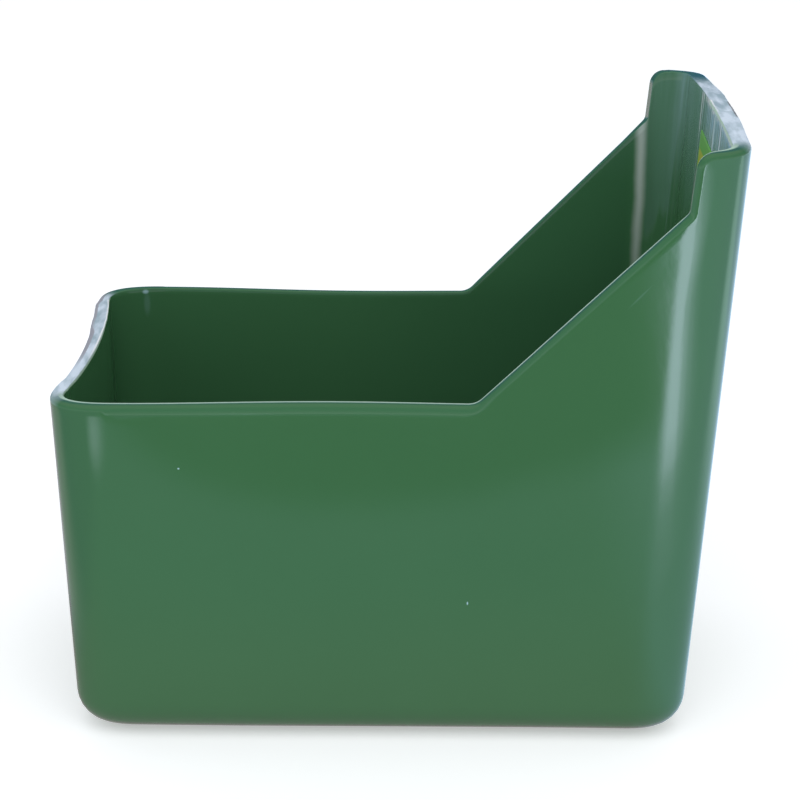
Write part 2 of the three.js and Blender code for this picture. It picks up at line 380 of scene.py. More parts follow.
def side_outline(size, corner):
    """The side rim in side view, from the front corner to the top of the ear, as x and height."""
    front_height = size.side_height - size.front_drop
    shoulder_x = size.base_length / 2 - size.shoulder_setback
    start = Vector((plan_at(size, Skin(0, 0, 0), corner, front_height).side_start, front_height))
    elbow = Vector((elbow_x(size), size.side_height))
    lift = size.far_lift if corner == size.far_corner else 0
    shoulder = Vector((shoulder_x, size.ear_height - size.ear_rise + lift))
    ear = Vector((shoulder_x + size.ear_lean, size.ear_height))
    ear_top = Vector((ear.x + size.ear_radius * 2, size.ear_height))
    elbow_arc = rounded_corner(start, elbow, shoulder, size.elbow_radius)
    level = [start.lerp(elbow_arc[0], step / SIDE_STEPS) for step in range(SIDE_STEPS)]
    shoulder_arc = rounded_corner(elbow, shoulder, ear, size.shoulder_radius)
    climb = [elbow_arc[-1].lerp(shoulder_arc[0], step / CLIMB_STEPS) for step in range(1, CLIMB_STEPS)]
    return level + elbow_arc + climb + shoulder_arc + rounded_corner(shoulder, ear, ear_top, size.ear_radius)


def mix(start, end, share):
    """The value a given share of the way from start to end."""
    return start + (end - start) * share


def outer_edge(size):
    """The rounding of the rim's outer edge."""
    return Edge(size.rim_rounding, size.rim_rounding, size.rim_fall, size.cut_rounding)


def inner_edge(size):
    """The rounding of the rim's inner edge, which eats into the rim from the other side."""
    return Edge(-size.inner_rounding, size.inner_rounding, 2 * size.inner_rounding, -size.cut_inner_rounding)


def fall_at(size, edge, x):
    """How far down the rounding runs at x along a side. It is long on the level rim and short elsewhere."""
    level_start = ease((x + size.base_length / 2 - size.side_ease) / size.near_corner)
    climb_start = ease((x - elbow_x(size)) / (2 * size.elbow_radius) + 0.5)
    return mix(edge.fall, edge.long_fall, level_start * (1 - climb_start))


def lowered(size, outline, edge, drop):
    """The outline moved square to itself into the wall, by a share of the rounding's fall."""
    places = []
    for index, point in enumerate(outline):
        after = outline[min(index + 1, len(outline) - 1)]
        along = (after - outline[max(index - 1, 0)]).normalized() * drop * fall_at(size, edge, point.x)
        places.append(Vector((point.x + along.y, point.y - along.x)))
    return places


def crispness(stretch, share, side):
    """How far a stretch of the rim is knife-cut and crisp, from 0 for moulded to 1."""
    if stretch is on_lip and side > 0:
        return rise(share, *FAR_LIP_CUT_SHARES) - rise(share, *FAR_LIP_END_SHARES)
    if stretch is on_lip:
        return rise(share, *NEAR_LIP_CUT_SHARES)
    if stretch is on_front_corner and side < 0:
        return max(0.0, 1 - share / NEAR_CORNER_END_SHARE)
    if stretch is on_back:
        return rise(share, *(FAR_BACK_CUT_SHARES if side > 0 else NEAR_BACK_CUT_SHARES))
    return 0.0


def column_at(size, skin, corner, edge, x, height):
    """The column of half a skin that passes through x at a given height."""
    plan = plan_at(size, skin, corner, height)
    if x <= plan.side_end:
        return Column(on_side, (x - plan.side_start) / (plan.side_end - plan.side_start), height, edge.reach)
    across = (x - plan.side_end) / (plan.back - plan.side_end)
    turn = math.atan2(across, (1 - across ** size.corner_power) ** (1 / size.corner_power))
    return Column(on_back_corner, turn / (math.pi / 2), height, edge.reach)


def trimmed_column(side, edge, drop, stretch, share, height):
    """A column under a rim at a given height, whose rounding is crisp where the knife has cut it."""
    crisp = crispness(stretch, share, side)
    fall = mix(edge.fall, abs(edge.crisp), crisp) * drop
    return Column(stretch, share, height - fall, mix(edge.reach, edge.crisp, crisp))


def lip_column(size, skin, side, edge, drop, stretch, share):
    """A column under the front lip, which dips a little in its middle."""
    plan = plan_at(size, skin, corner_on(size, side), size.side_height)
    y = stretch(size, plan, share)[1]
    dip = size.lip_dip * (1 - (y / plan.front_half) ** 2)
    return trimmed_column(side, edge, drop, stretch, share, size.side_height - size.front_drop - dip)


def back_column(size, skin, side, edge, drop, stretch, share):
    """A column under the back's top edge, a low arch that runs down into the ears."""
    plan = plan_at(size, skin, corner_on(size, side), size.ear_height)
    y = stretch(size, plan, share)[1]
    arch = size.arch_rise * (1 - (y / plan.back_half) ** 2)
    return trimmed_column(side, edge, drop, stretch, share, size.ear_height + arch)


def corner_on(size, side):
    """Reach of the upright corners on the near side, -1, or the far side, 1."""
    return size.far_corner if side > 0 else size.near_corner


def rim_columns(size, skin, side, edge, drop):
    """Columns of half a skin along a line that lies a share of the rounding's fall below the rim."""
    line = (size, skin, side, edge, drop)
    corner = corner_on(size, side)
    columns = [lip_column(*line, on_lip, step / LIP_STEPS) for step in range(LIP_STEPS)]
    columns += [lip_column(*line, on_front_corner, step / CORNER_STEPS) for step in range(CORNER_STEPS)]
    outline = lowered(size, side_outline(size, corner), edge, drop)
    columns += [column_at(size, skin, corner, edge, *place) for place in outline]
    ear = columns[-1]
    ear_share = ear.share if ear.stretch is on_back_corner else 0
    columns += [back_column(*line, on_back_corner, mix(ear_share, 1, step / CORNER_STEPS))
                for step in range(1, CORNER_STEPS)]
    columns += [back_column(*line, on_back, step / BACK_STEPS) for step in range(BACK_STEPS + 1)]
    return columns


def nick_at(size, skin, column, y):
    """How deep the back's inner edge is nicked at a place across the trough."""
    if column.stretch is not on_back or not skin.back:
        return 0.0
    return size.nick_depth * max(0.0, 1 - abs(y - size.nick_place) / size.nick_reach)


def sliver_at(size, skin, column, y):
    """How far a sliver of plastic stands out from the lip's outer edge at a place across the trough."""
    if column.stretch not in (on_lip, on_front_corner) or skin.side:
        return 0.0
    growth = ease((y - size.sliver_start) / size.sliver_growth)
    return size.sliver_reach * growth * ease((size.sliver_end - y) / size.sliver_fade)


def ragged(size, skin, column, side, x, y, z):
    """A point of the rim, moved by the waver of the knife cut, the nick and the sliver."""
    crisp = crispness(column.stretch, column.share, side) * size.raggedness
    coarse = noise.noise(Vector((x, y, 0)) / SLOW_WAVER)
    fine = noise.noise(Vector((x, y, z)) / QUICK_WAVER)
    outwards = -1 if x < 0 else 1
    nick = nick_at(size, skin, column, y)
    x += nick - sliver_at(size, skin, column, y) + crisp * outwards * (coarse + fine) / 2
    return Vector((x, y, z - nick + crisp * coarse / 4))


def half_ring(size, skin, side, edge, drop, pull, inset, level):
    """Points of half a ring, from the middle of the lip to the middle of the back."""
    places = []
    for column in rim_columns(size, skin, side, edge, drop):
        z = column.height if level is None else level
        plan = plan_at(size, skin, corner_on(size, side), z, inset + column.reach * pull)
        x, y = column.stretch(size, plan, column.share)
        y *= side
        places.append(ragged(size, skin, column, side, x, y, z) if level is None else Vector((x, y, z)))
    return places


def ring(size, skin, edge, drop=0.0, pull=0.0, inset=0.0, level=None):
    """One closed ring around the shell: the near half, then the far half."""
    near, far = [half_ring(size, skin, side, edge, drop, pull, inset, level) for side in (-1, 1)]
    return near[:-1] + far[:0:-1]


def edge_rings(size, skin, edge, steps):
    """Rings of a rounded rim edge, from the wall up to the rim's flat."""
    turns = [step / steps * math.pi / 2 for step in range(steps + 1)]
    return [ring(size, skin, edge, drop=1 - math.sin(turn), pull=1 - math.cos(turn)) for turn in turns]


def fillet_rings(size, skin, edge):
    """Rings of a skin's rounded bottom edge, from its flat up to the wall."""
    radius = size.base_fillet - skin.back
    rings = []
    for step in range(FILLET_STEPS + 1):
        turn = step / FILLET_STEPS * math.pi / 2
        level = skin.floor + radius * (1 - math.cos(turn))
        rings.append(ring(size, skin, edge, inset=radius * (1 - math.sin(turn)), level=level))
    return rings


def whiteness(column, side):
    """How far a rim column is painted pale, partly for the knife's whitening and partly as a painted
    reflection of the bright light above. Lip and back are cut, and the sides are moulded.
    """
    if column.stretch is on_lip:
        return 1.0
    if column.stretch is on_back:
        return rise(column.share, *FAR_BACK_WHITE_SHARES) if side > 0 else 1.0
    if column.stretch is on_front_corner and side > 0:
        return 1 - rise(column.share, *FAR_CORNER_WHITE_SHARES)
    if column.stretch is on_front_corner:
        return max(0.0, 1 - column.share / NEAR_CORNER_END_SHARE)
    if column.stretch is on_back_corner and side < 0:
        return max(0.0, (column.share - NEAR_EAR_START_SHARE) / (1 - NEAR_EAR_START_SHARE))
    return 0.0


def inner_edge_highlight(column, side):
    """How far the rim's inner edge gets a painted highlight line. The far side hardly gets one."""
    if side < 0 or column.stretch is on_lip:
        return 1.0
    if column.stretch is on_front_corner:
        return 1 - rise(column.share, *FAR_CORNER_HIGHLIGHT_SHARES)
    return 0.0


def around(size, trait):
    """A trait of every column of a ring, in the ring's order."""
    outer = skins(size)[0]
    near, far = [
        [trait(column, side) for column in rim_columns(size, outer, side, outer_edge(size), 0)]
        for side in (-1, 1)]
    return near[:-1] + far[:0:-1]


def wall_rings(low, high):
    """Rings that part a wall between its fillet and its rim."""
    return [[foot.lerp(top, share) for foot, top in zip(low, high)] for share in WALL_SHARES]


def grow(bm, rings):
    """Grows a tube from a circle that is extruded from ring to ring. Corners keep their column and row."""
    column = bm.verts.layers.int.new("column")
    row = bm.verts.layers.int.new("row")
    verts = bmesh.ops.create_circle(bm, segments=len(rings[0]), radius=1)["verts"]
    for index, vert in enumerate(verts):
        vert[column] = index
        vert.co = rings[0][index]
    edges = bm.edges[:]
    first_edges = edges
    for number, places in enumerate(rings[1:], start=1):
        grown = bmesh.ops.extrude_edge_only(bm, edges=edges)["geom"]
        verts = [part for part in grown if isinstance(part, bmesh.types.BMVert)]
        for vert in verts:
            vert[row] = number
            vert.co = places[vert[column]]
        edges = [part for part in grown
                 if isinstance(part, bmesh.types.BMEdge) and all(vert in verts for vert in part.verts)]
    return first_edges, edges


def finish_piece(bm, name, material, node):
    """Turns a bmesh into a smooth piece that rides on the body and stands for a CAD node."""
    mesh = bpy.data.meshes.new(name)
    bm.to_mesh(mesh)
    bm.free()
    mesh.shade_smooth()
    mesh.materials.append(material)
    piece = bpy.data.objects.new(name, mesh)
    bpy.context.scene.collection.objects.link(piece)
    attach(piece, "root")
    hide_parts(node)
    return piece


def add(tree, kind, sockets=None, **fields):
    """Adds a node, sets its fields, and gives each socket its value or its link, by name or by number.

    A node given as a value stands for its first output.
    """
    new = tree.nodes.new(kind)
    for field, value in fields.items():
        setattr(new, field, value)
    for socket, value in (sockets or {}).items():
        if isinstance(value, bpy.types.Node):
            value = value.outputs[0]
        if isinstance(value, bpy.types.NodeSocket):
            tree.links.new(value, new.inputs[socket])
        else:
            new.inputs[socket].default_value = value
    return new


def new_material(name):
    """A material with an empty tree, and that tree."""
    material = bpy.data.materials.new(name)
    material.use_nodes = True
    material.node_tree.nodes.clear()
    return material, material.node_tree


def lay_zone(tree, tone, zone, *bounds, strength=1.0):
    """Lays a zone over a tone. A bound is a value, where the zone starts and where it is full."""
    share = strength
    for value, start, full in bounds:
        share = add(tree, "ShaderNodeMapRange", {
            "Value": value, "From Min": start, "From Max": full, "To Max": share},
            interpolation_type="SMOOTHSTEP")
    return add(tree, "ShaderNodeMix", {0: share, 6: tone, 7: (*zone, 1)}, data_type="RGBA").outputs[2]


def lay_mark(tree, place, tone, shade, mark):
    """Lays a small soft mark with a solid core, which can lean in side view."""
    local = add(tree, "ShaderNodeMapping", {
        "Vector": place, "Location": mark.centre, "Rotation": (0, -mark.lean, 0), "Scale": mark.reach},
        vector_type="TEXTURE")
    distance = add(tree, "ShaderNodeVectorMath", {0: local}, operation="LENGTH")
    return lay_zone(tree, tone, shade, (distance.outputs["Value"], 1, mark.core), strength=mark.strength)


def green_body(tree, finish, place):
    """The plastic's own green, which drifts a little between two shades."""
    clouds = add(tree, "ShaderNodeTexNoise", {"Vector": place, "Scale": 1 / CLOUD_SIZE, "Detail": 3.0})
    return lay_zone(tree, (*finish.deep_green, 1), finish.green, strength=clouds)


def scuffed_and_lit_walls(tree, finish, upright, parts, inside, tone):
    """The inner walls near the high back, scuffed pale in upright strokes by the animals that feed there,
    over painted light that grows towards their top and towards the near side.
    """
    far_end = 90 * MM
    near_end = -40 * MM
    haze_foot = 240 * MM
    haze_top = 300 * MM
    strokes = add(tree, "ShaderNodeTexNoise", {
        "Vector": upright, "Scale": 1 / STROKE_SIZE, "Detail": 3.0, "Roughness": 0.6})
    density = add(tree, "ShaderNodeMapRange", {
        "Value": strokes, "From Min": 0.3, "From Max": 0.7, "To Min": 0.7, "To Max": 1.3})
    from_far = add(tree, "ShaderNodeMapRange", {
        "Value": parts.outputs["Y"], "From Min": far_end, "From Max": near_end})
    sideways = add(tree, "ShaderNodeValToRGB", {"Fac": from_far})
    set_ramp(sideways.color_ramp, SCUFF_AND_LIGHT_STOPS)
    # Painted light: the pale zone grows towards the top of the inner walls
    upwards = add(tree, "ShaderNodeMapRange", {
        "Value": parts.outputs["Z"], "From Min": haze_foot, "From Max": haze_top, "To Max": inside})
    spread = add(tree, "ShaderNodeMath", {0: sideways, 1: upwards}, operation="MULTIPLY")
    share = add(tree, "ShaderNodeMath", {0: spread, 1: density}, operation="MULTIPLY")
    return lay_zone(tree, tone, finish.scuff_and_painted_light, strength=share)


def marks_and_painted_highlights(tree, finish, place, parts, inside, tone):
    """The few marks of use and the painted highlights: a pale swaying streak in the far inner corner, and a
    highlight spot with its streak at the far rim.
    """
    highlight_streak_x = 134.5 * MM
    sway = 3 * MM
    waver = add(tree, "ShaderNodeTexNoise", {"Vector": place, "Scale": 1 / SWAY_SIZE, "Detail": 2.0})
    swayed = add(tree, "ShaderNodeMath", {
        0: waver, 1: sway, 2: parts.outputs["X"]}, operation="MULTIPLY_ADD")
    beside = add(tree, "ShaderNodeMath", {0: swayed, 1: highlight_streak_x}, operation="SUBTRACT")
    distance = add(tree, "ShaderNodeMath", {0: beside}, operation="ABSOLUTE")
    on_highlight_streak = (distance, 4 * MM, 0)
    far_side = (parts.outputs["Y"], 40 * MM, 60 * MM)
    upwards = (parts.outputs["Z"], 100 * MM, 250 * MM)
    # Painted highlight: the pale swaying streak stands in for the light mirrored in the far inner corner
    tone = lay_zone(
        tree, tone, finish.painted_highlight_white, on_highlight_streak, (inside, 0, 1), far_side, upwards, strength=0.36)
    for mark in MARKS_AND_HIGHLIGHT_SPOT:
        tone = lay_mark(tree, place, tone, finish.scuff_and_painted_light, mark)
    return tone


def trimmed(tree, finish, along_cut, parts, trim, outer_line, inner_line, tone):
    """The knife-cut rim: blotchy and pale, partly as a painted reflection, with a painted highlight on its
    inner edge, a sliver in front and a burr behind; then a painted highlight line on the moulded rim's inner
    edge.
    """
    blotches = add(tree, "ShaderNodeTexNoise", {
        "Vector": along_cut, "Scale": 1 / BLOTCH_SIZE, "Detail": 3.0, "Roughness": 0.5})
    pale = add(tree, "ShaderNodeMapRange", {"Value": blotches, "From Min": 0.35, "From Max": 0.6})
    cut = lay_zone(tree, (*finish.cut_shade, 1), finish.cut_edge_and_reflection, strength=pale)

    across = parts.outputs["Y"]
    on_lip_side = (parts.outputs["X"], 0, -10 * MM)
    on_back_side = (parts.outputs["X"], 0, 10 * MM)
    thin_sliver = (outer_line, 0.95, 0.99)
    wide_sliver = (outer_line, 0.8, 0.86)
    burr_line = (outer_line, 0.9, 0.97)
    painted_inner_highlight = (inner_line, 0.9, 0.97)
    cut = lay_zone(tree, cut, finish.sliver, thin_sliver, (across, -50 * MM, -10 * MM), on_lip_side)
    cut = lay_zone(tree, cut, finish.sliver, wide_sliver, (across, 5 * MM, 50 * MM), on_lip_side)
    cut = lay_zone(tree, cut, finish.burr, burr_line, on_back_side,
                   (across, -2 * MM, -8 * MM), (across, -40 * MM, -32 * MM), strength=0.7)
    # Painted highlight along the trimmed rim's inner edge
    cut = lay_zone(tree, cut, finish.painted_highlight_white, painted_inner_highlight, (across, -40 * MM, 0))

    whitened = add(tree, "ShaderNodeMix", {0: trim, 6: tone, 7: cut}, data_type="RGBA").outputs[2]
    moulded = add(tree, "ShaderNodeMath", {0: 1.0, 1: trim}, operation="SUBTRACT")
    # Painted highlight line along the moulded rim's inner edge
    return lay_zone(tree, whitened, finish.painted_edge_highlight, (inner_line, *EDGE_HIGHLIGHT_SHARES), (moulded, 0, 1))


def moulded_polyethylene(finish):
    """Semi-gloss moulded polyethylene. It gives an even sheen on green, dull and pale where cut, dull under
    the painted highlight line on the moulded rim's inner edge, and painted shade, light and highlights
    elsewhere.
    """
    material, tree = new_material("moulded_green_polyethylene")
    place = add(tree, "ShaderNodeTexCoord").outputs["Object"]
    parts = add(tree, "ShaderNodeSeparateXYZ", {"Vector": place})
    inside, trim, outer_line, inner_line = [
        add(tree, "ShaderNodeAttribute", attribute_name=name).outputs["Fac"]
        for name in ("inside", "trim", "outer_line", "inner_line")]
    upright = add(tree, "ShaderNodeMapping", {"Vector": place, "Scale": UPRIGHT_STRETCH})
    along_cut = add(tree, "ShaderNodeMapping", {"Vector": place, "Scale": ALONG_CUT_STRETCH})

    backwards = (parts.outputs["X"], -40 * MM, 100 * MM)
    short_of_back = (parts.outputs["X"], 134 * MM, 126 * MM)
    far_wall = (parts.outputs["Y"], 70 * MM, 80 * MM)
    tone = green_body(tree, finish, place)
    # Painted shade on the back part of the far inner wall
    tone = lay_zone(tree, tone, finish.inner_shade_green, (inside, 0, 1), backwards, short_of_back, far_wall,
                    strength=0.85)
    tone = scuffed_and_lit_walls(tree, finish, upright, parts, inside, tone)
    tone = marks_and_painted_highlights(tree, finish, place, parts, inside, tone)
    tone = trimmed(tree, finish, along_cut, parts, trim, outer_line, inner_line, tone)

    highlight_start, highlight_full = EDGE_HIGHLIGHT_SHARES
    highlit = add(tree, "ShaderNodeMapRange", {
        "Value": inner_line, "From Min": highlight_start, "From Max": highlight_full})
    dulled = add(tree, "ShaderNodeMath", {0: trim, 1: highlit}, operation="MAXIMUM")
    roughness = add(tree, "ShaderNodeMapRange", {
        "Value": dulled, "To Min": finish.gloss_roughness, "To Max": finish.dull_roughness})
    specular = add(tree, "ShaderNodeMapRange", {"Value": dulled, "To Min": 0.5, "To Max": 0.2})

    peel = add(tree, "ShaderNodeTexNoise", {"Vector": place, "Scale": 1 / PEEL_SIZE, "Detail": 2.0})
    bump = add(tree, "ShaderNodeBump", {"Height": peel, "Strength": 0.035, "Distance": 0.3 * MM})
    streaks = add(tree, "ShaderNodeTexNoise", {"Vector": upright, "Scale": 1 / FLOW_SIZE, "Detail": 3.0})
    near_back = add(tree, "ShaderNodeMapRange", {
        "Value": parts.outputs["X"], "From Min": 100 * MM, "From Max": 130 * MM, "To Max": inside})
    streak_height = add(tree, "ShaderNodeMath", {0: streaks, 1: near_back}, operation="MULTIPLY")
    flow = add(tree, "ShaderNodeBump", {
        "Height": streak_height, "Strength": 0.09, "Distance": 1 * MM, "Normal": bump})
    grain = add(tree, "ShaderNodeTexNoise", {
        "Vector": along_cut, "Scale": 1 / CUT_GRAIN_SIZE, "Detail": 3.0})
    grain_height = add(tree, "ShaderNodeMath", {0: grain, 1: trim}, operation="MULTIPLY")
    rough_cut = add(tree, "ShaderNodeBump", {
        "Height": grain_height, "Strength": 0.2, "Distance": 0.3 * MM, "Normal": flow})
    shader = add(tree, "ShaderNodeBsdfPrincipled", {
        "Base Color": tone, "Roughness": roughness, "IOR": 1.51,
        "Specular IOR Level": specular, "Normal": rough_cut})
    add(tree, "ShaderNodeOutputMaterial", {"Surface": shader})
    return material


def printed_film(finish):
    """Printed polypropylene film. It gives a flat bright green with a pale border, one band and a disc."""
    material, tree = new_material("printed_polypropylene_film")
    place = add(tree, "ShaderNodeUVMap", uv_map="label").outputs["UV"]
    up = add(tree, "ShaderNodeSeparateXYZ", {"Vector": place}).outputs["Y"]
    above_band_foot = (up, 0.68, 0.7)
    below_band_top = (up, 0.86, 0.84)
    tone = lay_zone(tree, (*finish.label_field, 1), finish.label_band, above_band_foot, below_band_top)
    tone = lay_mark(tree, place, tone, finish.label_band, LABEL_DISC)
    middle = (0.5, 0.5, 0)
    from_middle = add(tree, "ShaderNodeVectorMath", {0: place, 1: middle}, operation="SUBTRACT")
    outwards = add(tree, "ShaderNodeVectorMath", {0: from_middle}, operation="ABSOLUTE")
    reach = add(tree, "ShaderNodeSeparateXYZ", {"Vector": outwards})
    furthest = add(tree, "ShaderNodeMath", {
        0: reach.outputs["X"], 1: reach.outputs["Y"]}, operation="MAXIMUM")
    in_border = (furthest, 0.475, 0.48)
    tone = lay_zone(tree, tone, finish.label_edge, in_border)
    dots = add(tree, "ShaderNodeTexNoise", {"Vector": place, "Scale": FILM_DOTS_PER_LABEL, "Detail": 1.0})
    texture = add(tree, "ShaderNodeBump", {"Height": dots, "Strength": 0.05, "Distance": 0.05 * MM})
    shader = add(tree, "ShaderNodeBsdfPrincipled", {
        "Base Color": tone, "Roughness": 0.45, "IOR": 1.49, "Specular IOR Level": 0.25, "Normal": texture})
    add(tree, "ShaderNodeOutputMaterial", {"Surface": shader})
    return material


def sheet_tone(tree, across, along):
    """Painted reflection of the pale sheet around the trough: warmer at its foot, and painted light makes it
    brighter on the right and dimmer on the left.
    """
    tone = (0.15, 0.22, 0.3, 1)
    to_right = (across, 0.12, 0.18)
    to_left = (across, -0.2, -0.28)
    beside = (along, -0.2, -0.04)
    zones = {
        "sheet": ((0.27, 0.4, 0.46), (along, -1.4, -0.9)),
        "warm foot": ((0.45, 0.4, 0.42), (along, -0.28, -0.1)),
        "behind": ((0.15, 0.27, 0.4), (along, 0.12, 0.2)),
        "right": ((0.65, 0.95, 1.2), to_right),
        "right window": ((1.7, 2.4, 2.6), (across, 0.2, 0.8), beside),
        "right behind": ((1.0, 1.35, 1.8), to_right, (along, 0.02, 0.25)),
        "left": ((0.2, 0.18, 0.38), to_left),
        "left window": ((0.8, 0.74, 0.82), to_left, beside),
        "far left": ((0.35, 0.5, 0.65), (across, -0.7, -1.2))}
    for zone, *bounds in zones.values():
        tone = lay_zone(tree, tone, zone, *bounds)
    return tone


def dark_gap(tree, place, along, tone):
    """Painted reflection of the dark room that shows in front of the trough, past the round edge of the
    sheet.
    """
    dark = (0.03, 0.03, 0.03)
    to_centre = (-0.01, 0.55, 0)
    straight_past_centre = (-1, 0, 0)
    moved = add(tree, "ShaderNodeVectorMath", {0: place, 1: to_centre}, operation="ADD")
    rounded = add(tree, "ShaderNodeVectorMath", {0: moved, 1: straight_past_centre}, operation="MAXIMUM")
    distance = add(tree, "ShaderNodeVectorMath", {0: rounded}, operation="LENGTH")
    within_edge = (distance.outputs["Value"], 0.235, 0.175)
    return lay_zone(tree, tone, dark, within_edge, (along, -1.8, -1.1))


def right_strip(tree, across, along, tone):
    """Painted reflection of a long bright strip in front of the right corner, which gives the trough's
    upright highlight; sharp on its inner side and soft on the other.
    """
    bright = (5.4, 6.4, 7.8)
    slant = 0.11
    bend = -0.64
    past_bend = -0.74
    shift = -0.018
    inner_side = 0.12
    soft_edge = (0.1225, 0.171)
    narrow_side = 0.41
    wide_side = 0.545
    nearer = add(tree, "ShaderNodeMath", {0: along, 1: bend}, operation="MAXIMUM")
    set_back = add(tree, "ShaderNodeMapRange", {
        "Value": along, "From Min": bend, "From Max": past_bend, "To Max": shift},
        interpolation_type="SMOOTHSTEP")
    kinked = add(tree, "ShaderNodeMath", {0: across, 1: set_back}, operation="ADD")
    slanted = add(tree, "ShaderNodeMath", {0: nearer, 1: slant, 2: kinked}, operation="MULTIPLY_ADD")
    outer_side = add(tree, "ShaderNodeMapRange", {
        "Value": along, "From Min": -0.62, "From Max": -0.72, "To Min": narrow_side, "To Max": wide_side})
    width = add(tree, "ShaderNodeMapRange", {
        "Value": slanted, "From Min": inner_side, "From Max": outer_side})
    profile = add(tree, "ShaderNodeValToRGB", {"Fac": width})
    set_ramp(profile.color_ramp, STRIP_WIDTH_STOPS)
    reach = add(tree, "ShaderNodeMapRange", {"Value": along, "From Min": -0.2, "From Max": -0.55})
    fading = add(tree, "ShaderNodeValToRGB", {"Fac": reach})
    set_ramp(fading.color_ramp, STRIP_LENGTH_STOPS)
    share = add(tree, "ShaderNodeMath", {0: profile, 1: fading}, operation="MULTIPLY")
    return lay_zone(tree, tone, bright, (slanted, *soft_edge), strength=share)


def set_ramp(ramp, stops):
    """Sets a colour ramp's stops, each a position with a grey or a colour."""
    ramp.interpolation = "EASE"
    while len(ramp.elements) > 1:
        ramp.elements.remove(ramp.elements[-1])
    for index, (position, shade) in enumerate(stops):
        element = ramp.elements[0] if index == 0 else ramp.elements.new(position)
        element.position = position
        element.color = (*shade, 1) if isinstance(shade, tuple) else (shade, shade, shade, 1)


def studio_floor(stage):
    """Matt white paint. It gives a plain pale ground with a soft shadow, and glows in the gloss with a
    painted image that the trough shows as painted reflections.
    """
    material, tree = new_material("matt_white_floor_glowing_in_gloss")
    light_path = add(tree, "ShaderNodeLightPath")
    paint = add(tree, "ShaderNodeBsdfDiffuse", {"Color": (0.85, 0.86, 0.87, 1)})
    glow = add(tree, "ShaderNodeEmission", {"Color": (1, 1, 1, 1), "Strength": stage.floor_glow})
    seen = add(tree, "ShaderNodeAddShader", {0: paint, 1: glow})

    glint = (1.75, 2.1, 2.45)
    place = add(tree, "ShaderNodeTexCoord").outputs["Object"]
    parts = add(tree, "ShaderNodeSeparateXYZ", {"Vector": place})
    across = parts.outputs["X"]
    along = parts.outputs["Y"]
    tone = sheet_tone(tree, across, along)
    tone = dark_gap(tree, place, along, tone)
    tone = lay_mark(tree, place, tone, glint, LEFT_GLINT)
    tone = right_strip(tree, across, along, tone)
    # Painted reflections: only the gloss sees this glowing image of sheet, dark gap, glint and strip
    mirrored = add(tree, "ShaderNodeEmission", {"Color": tone, "Strength": 1.0})

    lit = add(tree, "ShaderNodeMixShader", {0: light_path.outputs["Is Camera Ray"], 1: paint, 2: seen})
    surface = add(tree, "ShaderNodeMixShader", {0: light_path.outputs["Is Glossy Ray"], 1: lit, 2: mirrored})
    add(tree, "ShaderNodeOutputMaterial", {"Surface": surface})
    return material


def studio_world(stage):
    """Even light from all round, plain white to the camera, with a calm sky in the gloss."""
    world = bpy.data.worlds.new("studio")
    world.use_nodes = True
    tree = world.node_tree
    tree.nodes.clear()
    light_path = add(tree, "ShaderNodeLightPath")
    even = add(tree, "ShaderNodeBackground", {"Color": (*linear("#f4f7fb"), 1), "Strength": stage.ambient})
    white = add(tree, "ShaderNodeBackground", {"Color": (1, 1, 1, 1), "Strength": 1.0})
    direction = add(tree, "ShaderNodeTexCoord").outputs["Generated"]
    heading = add(tree, "ShaderNodeSeparateXYZ", {"Vector": direction})
    height = add(tree, "ShaderNodeValToRGB", {"Fac": heading.outputs["Z"]})
    set_ramp(height.color_ramp, SKY_STOPS)
    dark_blue = (0.03, 0.1, 0.26)
    backwards = (heading.outputs["Y"], 0.1, 0.5)
    short_of_overhead = (heading.outputs["Z"], 0.7, 0.4)
    sky = lay_zone(tree, height, dark_blue, backwards, short_of_overhead)
    gloss = add(tree, "ShaderNodeBackground", {"Color": sky, "Strength": 1.0})
    lit = add(tree, "ShaderNodeMixShader", {0: light_path.outputs["Is Camera Ray"], 1: even, 2: white})
    mirrored = add(tree, "ShaderNodeMath", {
        0: light_path.outputs["Is Glossy Ray"], 1: light_path.outputs["Is Transmission Ray"]},
        operation="MAXIMUM")
    surface = add(tree, "ShaderNodeMixShader", {0: mirrored, 1: lit, 2: gloss})
    add(tree, "ShaderNodeOutputWorld", {"Surface": surface})
    return world


def add_lamp(lamp):
    """Adds a soft rectangular lamp that neither the camera nor the gloss sees."""
    light = bpy.data.lights.new(lamp.name, "AREA")
    light.shape = "RECTANGLE"
    light.size = lamp.width
    light.size_y = lamp.height
    light.energy = lamp.watts
    holder = bpy.data.objects.new(lamp.name, light)
    holder.location = lamp.place
    holder.rotation_euler = (Vector(LAMP_TARGET) - Vector(lamp.place)).to_track_quat("-Z", "Y").to_euler()
    holder.visible_camera = False
    holder.visible_glossy = False
    bpy.context.scene.collection.objects.link(holder)


